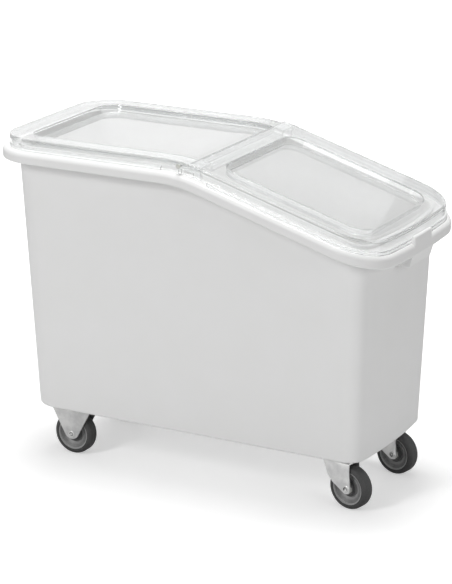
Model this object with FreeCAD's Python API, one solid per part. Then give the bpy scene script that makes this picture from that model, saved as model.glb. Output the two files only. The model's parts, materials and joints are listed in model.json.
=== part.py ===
import FreeCAD, Part
import math
import os

# Mobile ingredient bin on four casters, with a sloping front and a two-piece clear lid.
# Millimetres. X runs along the bin, from the tall rear end to the low front end, Y across
# it and Z up. The origin is on the ground, under the middle of the bin.
# Heights given "on the profile" are measured square to the rim's lower edge.

# Whole bin
LENGTH = 750.0
WIDTH = 363.0
GROUND_GAP = 92.0
RIM_LOW = 547.0
SLOPE_DEG = 16.44
BEND_X = 4.1                # where the flat and the sloping line of the rim's edge would meet
BEND_RADIUS = 230.0
OVERRUN = 2.0               # how far a cutting solid runs past what it cuts
BLANK_MARGIN = 20.0         # how far a blank reaches past the bin before it is trimmed

# Rim: a downturned flange
REAR_CORNER_RADIUS = 80.0
FRONT_CORNER_RADIUS = 77.5
FRONT_BOW_RADIUS = 1730.0
RIM_HEIGHT = 20.0
RIM_WALL = 6.0
RIM_TOP_SHEET = 5.0
RIM_SHOULDER = 8.5
RIM_FOOT_RADIUS = 3.5
RIM_INNER_RADIUS = 4.0
UPSTAND = 6.0

# Tub walls: how far the rim stands out over them, and their lean per millimetre of fall
RIM_SIDE_REACH = 29.1
RIM_REAR_REACH = 29.8
RIM_FRONT_REACH = 29.5
WALL_REAR_CORNER_RADIUS = 51.0
WALL_FRONT_CORNER_RADIUS = 30.0
WALL_BOW_RADIUS = 972.0
SIDE_LEAN_SHARE = 0.041
REAR_LEAN_SHARE = 0.0426
FRONT_LEAN_SHARE = 0.0384
TUB_WALL = 4.5
TUB_FLOOR = 5.0
BOTTOM_EDGE_RADIUS = 3.5
FLOOR_EDGE_RADIUS = 12.0

# Front grip under the rim, and the lug on the rim's top above it
GRIP_HALF_WIDTH = 42.0
GRIP_WALL = 5.0
GRIP_TOP_DROP = 6.0         # from the skirt's top down to the grip's top, inside the skirt
GRIP_TOP_SETBACK = 0.8
GRIP_FOOT_SETBACK = 7.5
GRIP_DROP = 18.0
GRIP_ROOT_SINK = 6.5        # how far the grip starts inside the tub's wall line
GRIP_EDGE_RADIUS = 4.0
LUG_HALF_WIDTH = 33.5
LUG_TOP = 33.0
LUG_ROOT = 10.0
LUG_LID_GAP = 4.0
LUG_EDGE_RADIUS = 3.0

# Both lids
SHEET = 3.0
SEAT_GAP = 0.3
FOOT_TOP = 27.0
RECESS_FLOOR_RADIUS = 2.5

# Seam and hinge
SEAM_PAST_BEND = 19.9
LAP = 18.0
LAP_GAP = 0.7
LAP_START_GAP = 0.6
HINGE_BEHIND_SEAM = 20.0
HINGE_HEIGHT = 34.0
EAR_RADIUS = 5.5
EAR_BAR_HALF = 3.0
PEG_RADIUS = 2.5
PEG_CLEARANCE = 0.06
PEG_HEAD_RADIUS = 4.2
PEG_HEAD = 1.5
PEG_HEAD_GAP = 0.3
BOSS_RADIUS = 6.0
BOSS_STOP_WIDTH = 5.0

# Rear lid
REAR_LID_INSET = 12.5
REAR_LID_TOP = 41.5
REAR_GROOVE = 3.5
REAR_BAND_BOTTOM = 34.0
REAR_FOOT_SHORTFALL = 56.0  # from the foot's end to the seam
REAR_EDGE_RADIUS = 2.0
REAR_FLANGE_REAR = 45.5
REAR_FLANGE_SIDE = 33.5
REAR_RECESS_DEPTH = 13.0
REAR_RECESS_DRAFT = 5.0
REAR_RECESS_CORNER = 30.0

# Front lid
FRONT_LID_TOP = 43.5
FRONT_LID_SETBACK = 3.0     # further back from the rim's outline at the front end
FRONT_FOOT_INSET = 4.0
FRONT_WALL_INSET = 8.5
FRONT_BAND_INSET = 6.5
FRONT_BAND_BOTTOM = 39.5
FRONT_FOOT_SHORTFALL = 35.6
FRONT_WALL_SHORTFALL = 7.8
FRONT_EDGE_RADIUS = 2.0
FRONT_FLANGE_SEAM = 37.0
FRONT_FLANGE_FRONT = 47.0
FRONT_FLANGE_SIDE = 53.5
FRONT_RECESS_DEPTH = 12.5
FRONT_RECESS_DRAFT = 4.0
FRONT_RECESS_REAR_CORNER = 28.0
FRONT_RECESS_FRONT_CORNER = 36.0
LUG_NOTCH_GAP = 2.0
LIP_DEPTH = 12.0
LIP_SIDE_GAP = 8.5

# Wheels
WHEEL_RADIUS = 38.1
TREAD_WIDTH = 25.0
TREAD_SHOULDER = 7.0
CORE_RADIUS = 29.6
CORE_WIDTH = 22.5
CORE_LIP = 2.0              # width of the ring's face beside the tyre
DISH_RIM = 9.5              # half the core's thickness where the dish leaves the ring
DISH_FOOT = 4.0             # the same where the dish meets the boss
CORE_BOSS_RADIUS = 17.0
CORE_BOSS = 6.5             # half the boss's thickness
CORE_BOSS_BEVEL = 0.8
HUB_RADIUS = 11.5
HUB_WIDTH = 25.0
BUSH_RADIUS = 7.0
BUSH_FLANGE_RADIUS = 9.5
BUSH_FLANGE = 1.2
BUSH_GAP = 0.4
AXLE_RADIUS = 4.0
TURN_CLEARANCE = 0.05
FORK_GAP = 0.3

# Forks and their fixings
FORK_SHEET = 2.5
REAR_TIP_RADIUS = 15.0
REAR_TIP_RISE = 6.0         # middle of the tip's curve over the axle
REAR_LEG_SETBACK = 1.0      # from the plate's end to the leg's, at the plate
CASTER_SIDE_SETBACK = 88.5
REAR_AXLE_SETBACK = 120.0
SWIVEL_SETBACK = 110.5
TRAIL = 30.5
CASTER_TURN_DEG = 9.7       # how far both front casters are turned, clockwise from above
WELL_DEPTH = 3.0
WELL_GAP = 1.5
PLATE_LENGTH = 88.0
PLATE_WIDTH = 61.0
PLATE = 3.0
PLATE_CORNER = 11.0
SCREW_PITCH_X = 70.0
SCREW_PITCH_Y = 47.0
SCREW_RADIUS = 3.0
SCREW_LENGTH = 13.0
SCREW_HOLE_CLEARANCE = 0.3
SCREW_HEAD_RADIUS = 5.0
SCREW_HEAD = 3.3
SCREW_HEAD_ROUND = 1.5
SCREW_SOCKET_RADIUS = 1.9
SCREW_SOCKET_DEPTH = 1.8
INSERT_RADIUS = 4.5
INSERT_LENGTH = 12.0
PLATFORM_ROOF = 4.0         # tub material left over the inserts
PLATFORM_MARGIN = 8.0
PLATFORM_CORNER = 12.0
AXLE_HEAD_RADIUS = 5.6
AXLE_HEAD = 1.5
AXLE_DIMPLE_RADIUS = 2.7
AXLE_DIMPLE = 1.1

# Swivel head
CROWN_GAP = 7.5             # under the tub
CROWN_RADIUS = 19.0
CROWN_BEND_RADIUS = 3.5
LEG_BACK = 18.0             # behind the swivel axis, at the crown
LEG_FRONT = 5.5             # ahead of the axle, at the crown
LEG_KNEE_BACK = 8.0         # behind the swivel axis
LEG_KNEE_RISE = 19.9        # over the axle
LEG_WAIST_AHEAD = 3.0       # ahead of the swivel axis
LEG_WAIST_RISE = 7.4
FRONT_TIP_RADIUS = 8.8
RACE_OUTER = 17.5
RACE_INNER = 11.0
RACE_HEIGHT = 3.0
RACE_SKIRT_RADIUS = 20.5
RACE_SKIRT_GAP = 0.8
BALL_RADIUS = 2.5
BALL_CIRCLE = 14.25
BALL_COUNT = 16
BALL_CLEARANCE = 0.1
KINGPIN_RADIUS = 5.0
KINGPIN_HEAD_RADIUS = 9.0
KINGPIN_HEAD = 3.0
KINGPIN_HEAD_GAP = 0.3

# Values that follow
SLOPE = math.radians(SLOPE_DEG)
HALF_LENGTH = LENGTH / 2
HALF_WIDTH = WIDTH / 2
BEND_START = BEND_X - BEND_RADIUS * math.tan(SLOPE / 2)
BEND_CENTRE_Z = RIM_LOW - BEND_RADIUS
TOTAL_HEIGHT = RIM_LOW + REAR_LID_TOP
WALL_HALF_WIDTH = HALF_WIDTH - RIM_SIDE_REACH
WALL_REAR = -HALF_LENGTH + RIM_REAR_REACH
WALL_FRONT = HALF_LENGTH - RIM_FRONT_REACH
GRIP_TOP_X = HALF_LENGTH - GRIP_TOP_SETBACK
GRIP_FOOT_X = HALF_LENGTH - GRIP_FOOT_SETBACK
GRIP_ROOT_X = WALL_FRONT - GRIP_ROOT_SINK
LUG_BACK_X = HALF_LENGTH - FRONT_LID_SETBACK - FRONT_WALL_INSET + LUG_LID_GAP
LID_SEAT = RIM_HEIGHT + SEAT_GAP
SEAM_X = BEND_X + SEAM_PAST_BEND
LAP_END = SEAM_X + LAP
HINGE_X = SEAM_X - HINGE_BEHIND_SEAM
REAR_FOOT_END = SEAM_X - REAR_FOOT_SHORTFALL
REAR_RECESS_REAR_X = -HALF_LENGTH + REAR_LID_INSET + REAR_FLANGE_REAR
REAR_RECESS_HALF = HALF_WIDTH - REAR_LID_INSET - REAR_FLANGE_SIDE
FRONT_FOOT_START = SEAM_X + FRONT_FOOT_SHORTFALL
FRONT_WALL_START = SEAM_X + FRONT_WALL_SHORTFALL
FRONT_RECESS_REAR_X = SEAM_X + FRONT_FLANGE_SEAM
FRONT_RECESS_FRONT_X = HALF_LENGTH - FRONT_FLANGE_FRONT
FRONT_RECESS_HALF = HALF_WIDTH - FRONT_FLANGE_SIDE
LIP_HALF_WIDTH = REAR_RECESS_HALF - LIP_SIDE_GAP
CASTER_Y = HALF_WIDTH - CASTER_SIDE_SETBACK
REAR_AXLE_X = -HALF_LENGTH + REAR_AXLE_SETBACK
SWIVEL_X = HALF_LENGTH - SWIVEL_SETBACK
FRONT_AXLE_X = SWIVEL_X + TRAIL     # before the casters are turned
PLATE_Z = GROUND_GAP + WELL_DEPTH
PLATE_BOTTOM = PLATE_Z - PLATE
PLATFORM_TOP = PLATE_Z + INSERT_LENGTH + PLATFORM_ROOF
LEG_INNER = HUB_WIDTH / 2 + BUSH_FLANGE + FORK_GAP
LEG_OUTER = LEG_INNER + FORK_SHEET
CROWN_TOP = GROUND_GAP - CROWN_GAP
LEG_BACK_X = SWIVEL_X - LEG_BACK
LEG_FRONT_X = FRONT_AXLE_X + LEG_FRONT
LEG_KNEE = (SWIVEL_X - LEG_KNEE_BACK, WHEEL_RADIUS + LEG_KNEE_RISE)
LEG_WAIST = (SWIVEL_X + LEG_WAIST_AHEAD, WHEEL_RADIUS + LEG_WAIST_RISE)
X_AXIS = FreeCAD.Vector(1, 0, 0)
Y_AXIS = FreeCAD.Vector(0, 1, 0)
Z_AXIS = FreeCAD.Vector(0, 0, 1)
ORIGIN = FreeCAD.Vector(0, 0, 0)
SIDES = {"right": -1, "left": 1}


def vec(x, y, z):
    return FreeCAD.Vector(x, y, z)


def box(x0, x1, y0, y1, z0, z1):
    return Part.makeBox(x1 - x0, y1 - y0, z1 - z0, vec(x0, y0, z0))


def fuse(shapes):
    """One solid from many, without the seams between them."""
    return shapes[0].fuse(shapes[1:]).removeSplitter()


def export(shape, node):
    shape.exportStep("parts/" + node + ".step")
    if not shape.isValid():
        print("not valid:", node)


# Side profile: flat, then a bend, then the slope. Every flange, groove and lid top is the
# same curve at its own height.

def profile_edges(height):
    radius = BEND_RADIUS + height
    half = SLOPE / 2
    reach = HALF_LENGTH + BLANK_MARGIN
    bend_in = vec(BEND_START, 0, RIM_LOW + height)
    bend_mid = vec(BEND_START + radius * math.sin(half), 0, BEND_CENTRE_Z + radius * math.cos(half))
    bend_out = vec(BEND_START + radius * math.sin(SLOPE), 0, BEND_CENTRE_Z + radius * math.cos(SLOPE))
    end = vec(reach, 0, bend_out.z - (reach - bend_out.x) * math.tan(SLOPE))
    return [
        Part.LineSegment(vec(-reach, 0, bend_in.z), bend_in).toShape(),
        Part.Arc(bend_in, bend_mid, bend_out).toShape(),
        Part.LineSegment(bend_out, end).toShape(),
    ]


def profile_z(height, x):
    """Height above the ground of the profile at x."""
    radius = BEND_RADIUS + height
    bend_end = BEND_START + radius * math.sin(SLOPE)
    if x <= BEND_START:
        return RIM_LOW + height
    if x <= bend_end:
        return BEND_CENTRE_Z + math.sqrt(radius ** 2 - (x - BEND_START) ** 2)
    return BEND_CENTRE_Z + radius * math.cos(SLOPE) - (x - bend_end) * math.tan(SLOPE)


def band(low, high):
    """Slab between two heights on the profile, wider than the bin."""
    bottom = profile_edges(low)
    top = profile_edges(high)
    rear = Part.LineSegment(bottom[0].Vertexes[0].Point, top[0].Vertexes[0].Point).toShape()
    front = Part.LineSegment(bottom[2].Vertexes[1].Point, top[2].Vertexes[1].Point).toShape()
    face = Part.Face(Part.Wire(Part.sortEdges(bottom + [front] + top + [rear])[0]))
    reach = HALF_WIDTH + BLANK_MARGIN
    face.translate(-Y_AXIS * reach)
    return face.extrude(Y_AXIS * (reach + reach))


def between(x0, x1):
    """Upright slab between two places along the bin."""
    reach = HALF_WIDTH + BLANK_MARGIN
    return box(x0, x1, -reach, reach, 0, TOTAL_HEIGHT + BLANK_MARGIN)


def ahead_of(x):
    return between(x, HALF_LENGTH + BLANK_MARGIN)


def behind(x):
    return between(-HALF_LENGTH - BLANK_MARGIN, x)


# Plan outline: straight rear and sides, round corners, and a front end that bows out.

def outline(rear, front, half, rear_r, front_r, bow_r, z):
    bow_x = front - bow_r
    corner_y = half - front_r
    corner_x = bow_x + math.sqrt((bow_r - front_r) ** 2 - corner_y ** 2)
    lean = math.atan2(corner_y, corner_x - bow_x)
    mid = (math.pi / 2 + lean) / 2
    side = {}
    for s in (-1, 1):
        side[s] = (
            vec(corner_x, s * half, z),
            vec(corner_x + front_r * math.cos(mid), s * (corner_y + front_r * math.sin(mid)), z),
            vec(bow_x + bow_r * math.cos(lean), s * bow_r * math.sin(lean), z),
        )
    x_r = rear + rear_r
    y_r = half - rear_r
    diagonal = rear_r * math.sqrt(0.5)
    return Part.Wire([
        Part.LineSegment(vec(x_r, -half, z), side[-1][0]).toShape(),
        Part.Arc(*side[-1]).toShape(),
        Part.Arc(side[-1][2], vec(front, 0, z), side[1][2]).toShape(),
        Part.Arc(side[1][2], side[1][1], side[1][0]).toShape(),
        Part.LineSegment(side[1][0], vec(x_r, half, z)).toShape(),
        Part.Arc(vec(x_r, half, z), vec(x_r - diagonal, y_r + diagonal, z), vec(rear, y_r, z)).toShape(),
        Part.LineSegment(vec(rear, y_r, z), vec(rear, -y_r, z)).toShape(),
        Part.Arc(vec(rear, -y_r, z), vec(x_r - diagonal, -y_r - diagonal, z), vec(x_r, -half, z)).toShape(),
    ])


def rim_prism(inset, setback):
    """Upright block of the rim's outline drawn in by the inset, more so at the front."""
    wire = outline(
        -HALF_LENGTH + inset,
        HALF_LENGTH - inset - setback,
        HALF_WIDTH - inset,
        REAR_CORNER_RADIUS - inset,
        FRONT_CORNER_RADIUS - inset,
        FRONT_BOW_RADIUS - inset,
        GROUND_GAP,
    )
    return Part.Face(wire).extrude(Z_AXIS * TOTAL_HEIGHT)


def rounded_rectangle(x0, x1, half, rear_r, front_r, z):
    k = 1 - math.sqrt(0.5)
    corners = [
        (vec(x1 - front_r, -half, z), vec(x1 - front_r * k, -half + front_r * k, z), vec(x1, -half + front_r, z)),
        (vec(x1, half - front_r, z), vec(x1 - front_r * k, half - front_r * k, z), vec(x1 - front_r, half, z)),
        (vec(x0 + rear_r, half, z), vec(x0 + rear_r * k, half - rear_r * k, z), vec(x0, half - rear_r, z)),
        (vec(x0, -half + rear_r, z), vec(x0 + rear_r * k, -half + rear_r * k, z), vec(x0 + rear_r, -half, z)),
    ]
    edges = []
    for i, corner in enumerate(corners):
        edges.append(Part.Arc(*corner).toShape())
        edges.append(Part.LineSegment(corner[2], corners[(i + 1) % len(corners)][0]).toShape())
    return Part.Wire(edges)


def on_profile(edge, height):
    """True for an edge that runs round the outline at a height on the profile."""
    mid = edge.valueAt((edge.FirstParameter + edge.LastParameter) / 2)
    points = [mid] + [v.Point for v in edge.Vertexes]
    level = all(abs(p.z - profile_z(height, p.x)) < 0.05 for p in points)
    crosses = abs(mid.y) < 1 and abs(mid.x) < HALF_LENGTH / 2
    return level and not crosses


# Tub

def wall_loft(inset, z0, z1):
    """Tapered block of the tub's wall, drawn in by the inset."""
    wires = []
    for z in (z0, z1):
        fall = RIM_LOW - z
        wires.append(outline(
            WALL_REAR + REAR_LEAN_SHARE * fall + inset,
            WALL_FRONT - FRONT_LEAN_SHARE * fall - inset,
            WALL_HALF_WIDTH - SIDE_LEAN_SHARE * fall - inset,
            WALL_REAR_CORNER_RADIUS - inset,
            WALL_FRONT_CORNER_RADIUS - inset,
            WALL_BOW_RADIUS - inset,
            z,
        ))
    return Part.makeLoft(wires, True, True)


def low_edges(solid, z):
    """Edges of a solid that lie at one height above the ground."""
    return [e for e in solid.Edges if abs(e.BoundBox.ZMax - z) < 0.01 and abs(e.BoundBox.ZMin - z) < 0.01]


def rim():
    """Downturned flange round the tub's mouth, with rounded shoulder and foot."""
    block = rim_prism(0, 0).common(band(0, RIM_HEIGHT))
    block = block.makeFillet(RIM_SHOULDER, [e for e in block.Edges if on_profile(e, RIM_HEIGHT)])
    block = block.makeFillet(RIM_FOOT_RADIUS, [e for e in block.Edges if on_profile(e, 0)])
    hollow_top = RIM_HEIGHT - RIM_TOP_SHEET
    hollow = rim_prism(RIM_WALL, 0).common(band(-BLANK_MARGIN, hollow_top))
    hollow = hollow.makeFillet(RIM_INNER_RADIUS, [e for e in hollow.Edges if on_profile(e, hollow_top)])
    return block.cut(hollow)


def grip():
    """Pull under the front of the rim: a leaning face and two cheeks, open below."""
    top_x = GRIP_TOP_X - RIM_WALL
    foot_z = profile_z(0, GRIP_TOP_X) - GRIP_DROP
    top = profile_z(RIM_HEIGHT - RIM_TOP_SHEET, GRIP_TOP_X)
    skirt = profile_z(RIM_HEIGHT - RIM_TOP_SHEET - GRIP_TOP_DROP, GRIP_TOP_X)

    def side(points, half):
        corners = [vec(x, -half, z) for x, z in points]
        return Part.Face(Part.makePolygon(corners + corners[:1])).extrude(Y_AXIS * (half + half))

    root_z = profile_z(RIM_HEIGHT - RIM_TOP_SHEET, GRIP_ROOT_X)
    block = side([
        (GRIP_ROOT_X, foot_z),
        (GRIP_FOOT_X, foot_z),
        (GRIP_TOP_X, profile_z(RIM_FOOT_RADIUS, GRIP_TOP_X)),
        (GRIP_TOP_X, skirt),
        (top_x, top),
        (GRIP_ROOT_X, root_z),
    ], GRIP_HALF_WIDTH)
    block = block.makeFillet(GRIP_EDGE_RADIUS, low_edges(block, foot_z))
    foot_inner = GRIP_FOOT_X - GRIP_WALL
    hollow = side([
        (GRIP_ROOT_X - TUB_WALL, foot_z - OVERRUN),
        (foot_inner, foot_z - OVERRUN),
        (foot_inner, foot_z),
        (top_x, skirt),
        (top_x, top),
        (GRIP_ROOT_X - TUB_WALL, top + BLANK_MARGIN),
    ], GRIP_HALF_WIDTH - GRIP_WALL)
    hollow = hollow.common(band(-BLANK_MARGIN - BLANK_MARGIN, RIM_HEIGHT - RIM_TOP_SHEET))
    return block.cut(hollow)


def lug():
    """Raised lug on the rim's top, flush with the rim's face, that the lid's notch fits."""
    block = box(LUG_BACK_X, HALF_LENGTH, -LUG_HALF_WIDTH, LUG_HALF_WIDTH, 0, TOTAL_HEIGHT)
    block = rim_prism(0, 0).common(block).common(band(LUG_ROOT, LUG_TOP))
    edges = [e for e in block.Edges if on_profile(e, LUG_TOP) or (
        abs(abs(e.CenterOfMass.y) - LUG_HALF_WIDTH) < 0.1 and e.BoundBox.ZLength > LUG_ROOT
        and e.CenterOfMass.x > LUG_BACK_X + 1)]
    return block.makeFillet(LUG_EDGE_RADIUS, edges)


def caster_places():
    """Middle of each caster's plate."""
    return [(x, side * CASTER_Y) for x in (REAR_AXLE_X, SWIVEL_X) for side in SIDES.values()]


def screw_places():
    places = []
    for x, y in caster_places():
        for sx in (-1, 1):
            for sy in (-1, 1):
                places.append((x + sx * SCREW_PITCH_X / 2, y + sy * SCREW_PITCH_Y / 2))
    return places


def rounded_block(x, y, length, width, corner, z0, z1):
    half_x = length / 2
    wire = rounded_rectangle(-half_x, half_x, width / 2, corner, corner, z0)
    block = Part.Face(wire).extrude(Z_AXIS * (z1 - z0))
    block.translate(vec(x, y, 0))
    return block


def platforms():
    """Raised corners of the tub's floor, over the caster wells."""
    shapes = []
    reach = HALF_LENGTH + BLANK_MARGIN
    inner_y = CASTER_Y - PLATE_WIDTH / 2 - PLATFORM_MARGIN
    half_x = PLATE_LENGTH / 2 + PLATFORM_MARGIN
    for x0, x1 in ((-reach, REAR_AXLE_X + half_x), (SWIVEL_X - half_x, reach)):
        for side in SIDES.values():
            y0, y1 = sorted((side * inner_y, side * (HALF_WIDTH + BLANK_MARGIN)))
            block = box(x0, x1, y0, y1, GROUND_GAP, PLATFORM_TOP)
            cross_x = x1 if x0 == -reach else x0
            corner = [e for e in block.Edges if abs(e.CenterOfMass.y - side * inner_y) < 0.1
                      and abs(e.CenterOfMass.x - cross_x) < 0.1]
            shapes.append(block.makeFillet(PLATFORM_CORNER, corner))
    return shapes


def tub():
    shell_top = TOTAL_HEIGHT + BLANK_MARGIN
    outer = wall_loft(0, GROUND_GAP, shell_top)
    outer = outer.makeFillet(BOTTOM_EDGE_RADIUS, low_edges(outer, GROUND_GAP))
    outer = outer.common(fuse([
        behind(HALF_LENGTH).common(band(-BLANK_MARGIN, RIM_HEIGHT + UPSTAND)),
        under_profile(),
    ]))
    body = fuse([outer, rim(), grip(), lug()])
    floor = GROUND_GAP + TUB_FLOOR
    cavity = wall_loft(TUB_WALL, floor, shell_top)
    cavity = cavity.makeFillet(FLOOR_EDGE_RADIUS, low_edges(cavity, floor))
    body = body.cut(cavity.cut(platforms()).removeSplitter())
    well_length = PLATE_LENGTH + WELL_GAP + WELL_GAP
    well_width = PLATE_WIDTH + WELL_GAP + WELL_GAP
    for x, y in caster_places():
        body = body.cut(rounded_block(
            x, y, well_length, well_width, PLATE_CORNER + WELL_GAP, GROUND_GAP - OVERRUN, PLATE_Z))
    holes = [Part.makeCylinder(INSERT_RADIUS, INSERT_LENGTH, vec(x, y, PLATE_Z)) for x, y in screw_places()]
    return body.cut(holes)


def under_profile():
    """Everything under the rim's lower edge."""
    edges = profile_edges(0)
    start = edges[0].Vertexes[0].Point
    end = edges[2].Vertexes[1].Point
    low_start = vec(start.x, 0, 0)
    low_end = vec(end.x, 0, 0)
    sides = [
        Part.LineSegment(end, low_end).toShape(),
        Part.LineSegment(low_end, low_start).toShape(),
        Part.LineSegment(low_start, start).toShape(),
    ]
    face = Part.Face(Part.Wire(Part.sortEdges(edges + sides)[0]))
    reach = HALF_WIDTH + BLANK_MARGIN
    face.translate(-Y_AXIS * reach)
    return face.extrude(Y_AXIS * (reach + reach))


# Lids, of clear sheet

def recess(x0, x1, half, rear_r, front_r, z_floor, z_top, draft, grow):
    """Tapered block of a sunk panel between its floor and the lid's top, grown outwards."""
    spill = draft * OVERRUN / (z_top - z_floor)
    wires = [
        rounded_rectangle(x0 + draft - grow, x1 - draft + grow, half - draft + grow,
                          rear_r - draft + grow, front_r - draft + grow, z_floor),
        rounded_rectangle(x0 - spill - grow, x1 + spill + grow, half + spill + grow,
                          rear_r + spill + grow, front_r + spill + grow, z_top + OVERRUN),
    ]
    return Part.makeLoft(wires, True, True)


def hoop(outer, inner, setback, low, high):
    """Band round the outline between two insets and two heights on the profile."""
    ring = rim_prism(outer, setback).cut(rim_prism(inner, setback))
    return ring.common(band(low, high))


def rear_recess(grow):
    """Sunk panel of the rear lid, open at the seam, with its floor on the profile."""
    drop = REAR_RECESS_DEPTH + BLANK_MARGIN
    draft = REAR_RECESS_DRAFT * drop / REAR_RECESS_DEPTH
    top = RIM_LOW + REAR_LID_TOP
    corner = REAR_RECESS_CORNER
    block = recess(REAR_RECESS_REAR_X, HALF_LENGTH, REAR_RECESS_HALF, corner, corner,
                   top - drop, top, draft, grow)
    floor = REAR_LID_TOP - REAR_RECESS_DEPTH - grow
    block = block.common(band(floor, REAR_LID_TOP + BLANK_MARGIN)).common(behind(SEAM_X + HALF_LENGTH / 2))
    return block


def hinge_point():
    return vec(HINGE_X, 0, profile_z(HINGE_HEIGHT, HINGE_X))


def rod(radius, x, y0, y1, z):
    """Cylinder across the bin."""
    low, high = sorted((y0, y1))
    return Part.makeCylinder(radius, high - low, vec(x, low, z), Y_AXIS)


def rear_lid():
    inner = REAR_LID_INSET + REAR_GROOVE + SHEET
    wall = REAR_LID_INSET + REAR_GROOVE
    seam = SEAM_X - LAP_START_GAP
    lap_top = FRONT_LID_TOP - SHEET - LAP_GAP
    upper = rim_prism(REAR_LID_INSET, 0).common(band(REAR_BAND_BOTTOM, REAR_LID_TOP)).common(behind(seam))
    upper = upper.makeFillet(REAR_EDGE_RADIUS, [
        e for e in upper.Edges if on_profile(e, REAR_LID_TOP) and e.CenterOfMass.x < seam - 1])
    foot = rim_prism(REAR_LID_INSET, 0).common(band(LID_SEAT, FOOT_TOP)).common(behind(REAR_FOOT_END))
    middle = rim_prism(wall, 0).common(band(LID_SEAT, REAR_LID_TOP - REAR_EDGE_RADIUS)).common(behind(seam))
    lap = rim_prism(REAR_LID_INSET, 0).common(band(lap_top - SHEET, lap_top))
    lap = lap.common(between(seam - SHEET, LAP_END))
    lap_wall = rim_prism(wall, 0).common(band(LID_SEAT, lap_top)).common(between(seam - SHEET, LAP_END))
    solid = fuse([upper, foot, middle, lap, lap_wall])
    hollow = rim_prism(inner, 0).common(band(-BLANK_MARGIN, REAR_LID_TOP - SHEET)).common(behind(seam - SHEET))
    lap_hollow = rim_prism(inner, 0).common(band(-BLANK_MARGIN, lap_top - SHEET))
    foot_hollow = rim_prism(REAR_LID_INSET + SHEET, 0).common(band(-BLANK_MARGIN, FOOT_TOP - SHEET))
    solid = solid.cut([hollow, lap_hollow, foot_hollow.common(behind(REAR_FOOT_END - SHEET))])
    tray = rear_recess(SHEET).common(rim_prism(wall, 0)).common(behind(LAP_END))
    tray = tray.common(band(0, lap_top))
    solid = fuse([solid, tray]).cut(rear_recess(0))
    pivot = hinge_point()
    for side in SIDES.values():
        face = side * (HALF_WIDTH - REAR_LID_INSET)
        back = side * (HALF_WIDTH - inner)
        boss = rod(BOSS_RADIUS, pivot.x, face, back, pivot.z)
        low, high = sorted((face, back))
        half = BOSS_STOP_WIDTH / 2
        post = box(pivot.x - half, pivot.x + half, low, high, GROUND_GAP, pivot.z)
        post = post.common(band(LID_SEAT, REAR_LID_TOP))
        solid = solid.fuse([boss, post])
        solid = solid.cut(rod(PEG_RADIUS, pivot.x, face + side, back - side * OVERRUN, pivot.z))
    return solid.removeSplitter()


def front_recess(grow):
    """Sunk panel of the front lid, drawn level and then turned down onto the slope."""
    radius = BEND_RADIUS + FRONT_LID_TOP
    bend_end = BEND_START + radius * math.sin(SLOPE)
    x0 = BEND_START + (FRONT_RECESS_REAR_X - bend_end) / math.cos(SLOPE)
    x1 = BEND_START + (FRONT_RECESS_FRONT_X - bend_end) / math.cos(SLOPE)
    top = RIM_LOW + FRONT_LID_TOP
    block = recess(x0, x1, FRONT_RECESS_HALF, FRONT_RECESS_REAR_CORNER, FRONT_RECESS_FRONT_CORNER,
                   top - FRONT_RECESS_DEPTH - grow, top, FRONT_RECESS_DRAFT, grow)
    if grow == 0:
        floor = top - FRONT_RECESS_DEPTH
        block = block.makeFillet(RECESS_FLOOR_RADIUS, low_edges(block, floor))
    block.rotate(vec(BEND_START, 0, BEND_CENTRE_Z), Y_AXIS, SLOPE_DEG)
    return block


def front_lid():
    setback = FRONT_LID_SETBACK
    inner = FRONT_WALL_INSET + SHEET
    top = rim_prism(FRONT_BAND_INSET, setback).common(band(FRONT_BAND_BOTTOM, FRONT_LID_TOP))
    top = top.common(ahead_of(SEAM_X))
    top = top.makeFillet(FRONT_EDGE_RADIUS, [
        e for e in top.Edges if on_profile(e, FRONT_LID_TOP) and e.CenterOfMass.x > SEAM_X + 1])
    top = top.cut(rim_prism(inner, setback).common(band(0, FRONT_LID_TOP - SHEET)))
    wall = hoop(FRONT_WALL_INSET, inner, setback, FOOT_TOP - SHEET, FRONT_LID_TOP - FRONT_EDGE_RADIUS)
    wall = wall.common(ahead_of(FRONT_WALL_START))
    foot = hoop(FRONT_FOOT_INSET, inner, setback, FOOT_TOP - SHEET, FOOT_TOP)
    hem = hoop(FRONT_FOOT_INSET, FRONT_FOOT_INSET + SHEET, setback, LID_SEAT, FOOT_TOP)
    foot = foot.fuse(hem).common(ahead_of(FRONT_FOOT_START))
    lip = box(SEAM_X, SEAM_X + SHEET, -LIP_HALF_WIDTH, LIP_HALF_WIDTH, 0, TOTAL_HEIGHT)
    lip = lip.common(band(FRONT_LID_TOP - LIP_DEPTH, FRONT_LID_TOP - SHEET))
    tray = front_recess(SHEET).common(band(0, FRONT_LID_TOP - SHEET))
    solid = fuse([top, wall, foot, lip, tray]).cut(front_recess(0))
    notch_half = LUG_HALF_WIDTH + LUG_NOTCH_GAP
    notch = box(LUG_BACK_X - LUG_NOTCH_GAP / 2, HALF_LENGTH + OVERRUN, -notch_half, notch_half, 0, TOTAL_HEIGHT)
    solid = solid.cut(notch.common(band(0, LUG_TOP + LUG_NOTCH_GAP / 2)))
    pivot = hinge_point()
    for side in SIDES.values():
        face = side * (HALF_WIDTH - FRONT_WALL_INSET)
        back = side * (HALF_WIDTH - inner)
        low, high = sorted((face, back))
        bar = box(HINGE_X, FRONT_WALL_START + OVERRUN, low, high, 0, TOTAL_HEIGHT)
        bar = bar.common(band(HINGE_HEIGHT - EAR_BAR_HALF, HINGE_HEIGHT + EAR_BAR_HALF))
        solid = solid.fuse([bar, rod(EAR_RADIUS, pivot.x, face, back, pivot.z)])
        solid = solid.cut(rod(PEG_RADIUS + PEG_CLEARANCE, pivot.x, face + side, back - side, pivot.z))
    return solid.removeSplitter()


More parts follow.
